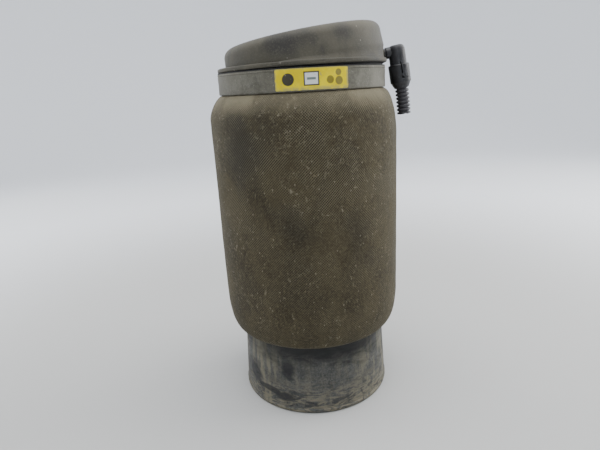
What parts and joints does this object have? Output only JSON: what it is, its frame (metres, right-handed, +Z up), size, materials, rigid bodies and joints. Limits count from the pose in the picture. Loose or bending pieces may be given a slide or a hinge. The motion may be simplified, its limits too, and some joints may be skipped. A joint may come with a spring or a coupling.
{
  "type": "vehicle air spring",
  "caption": "Rolling-lobe air spring with a slanted cap, swaged band, rubber sleeve, tapered piston and swivel air elbow.",
  "frame": {"origin": "centre of the piston's lower seat, on the axis of the lower mounting screw", "axes": "+Z up along the spring's axis, from the piston to the cap; the air fitting leaves the cap towards +X"},
  "size_m": [0.1628, 0.15, 0.3044],
  "materials": {
    "cap_plastic": "glass-filled nylon, dusty satin",
    "band_metal": "swaged aluminium, dull and dusty",
    "label": "worn vinyl label",
    "sleeve_rubber": "fabric-reinforced rubber, dusty, with a diagonal weave",
    "piston_plastic": "grey glass-filled nylon, scuffed and dusty",
    "fitting_plastic": "black nylon, satin",
    "conduit_plastic": "black corrugated nylon",
    "pipe_plastic": "black polyamide pipe",
    "steel": "zinc-plated steel",
    "brass": "turned brass",
    "seal_rubber": "black nitrile",
    "bump_foam": "cellular polyurethane"
  },
  "bodies": {
    "piston": {"piston_shell": "piston_plastic", "piston_base": "piston_plastic", "mount_insert": "steel", "bump_stop": "bump_foam", "bump_stop_washer": "steel", "bump_stop_screw": "steel", "lower_crimp_ring": "steel"},
    "inner_leg": {"bellows_inner_leg": "sleeve_rubber"},
    "bellows": {"bellows": "sleeve_rubber"},
    "top": {"closure_ring": "cap_plastic", "upper_cap": "cap_plastic", "upper_crimp_ring": "band_metal", "info_label": "label", "cap_o_ring": "seal_rubber", "port_insert": "brass"},
    "elbow": {"elbow_body": "fitting_plastic", "spigot_o_rings": "seal_rubber", "spigot_clip": "steel", "flap_pin": "steel", "air_pipe": "pipe_plastic", "conduit": "conduit_plastic", "pipe_collet": "brass", "pipe_o_ring": "seal_rubber"},
    "flap": {"conduit_flap": "fitting_plastic"}
  },
  "joints": [
    {"name": "tilt", "type": "hinge", "parent": "piston", "child": "inner_leg", "pos_m": [0, 0, 0.055], "axis": [0, 1, 0], "range_deg": [-6, 6], "stiffness_Nm_per_rad": 60, "deforming": ["bellows_inner_leg", "bellows"]},
    {"name": "lobe_roll", "type": "slide", "parent": "inner_leg", "child": "bellows", "axis": [0, 0, 1], "range_m": [-0.035, 0.02], "stiffness_N_per_m": 2000, "springref_m": 0.0035, "deforming": ["bellows_inner_leg", "bellows"]},
    {"name": "stroke", "type": "slide", "parent": "bellows", "child": "top", "axis": [0, 0, 1], "range_m": [-0.035, 0.02], "stiffness_N_per_m": 2000, "springref_m": 0.0022, "deforming": ["bellows", "bellows_inner_leg"]},
    {"name": "elbow_swivel", "type": "hinge", "parent": "top", "child": "elbow", "pos_m": [0.0762, 0, 0.2825], "axis": [0.989, 0, 0.1478], "continuous": true},
    {"name": "flap_hinge", "type": "hinge", "parent": "elbow", "child": "flap", "pos_m": [0.07845, 0.01015, 0.26747], "axis": [-0.1478, 0, 0.989], "range_deg": [0, 100]}
  ],
  "couplings": [
    {"joint": "lobe_roll", "follows": "stroke", "ratio": 1}
  ]
}
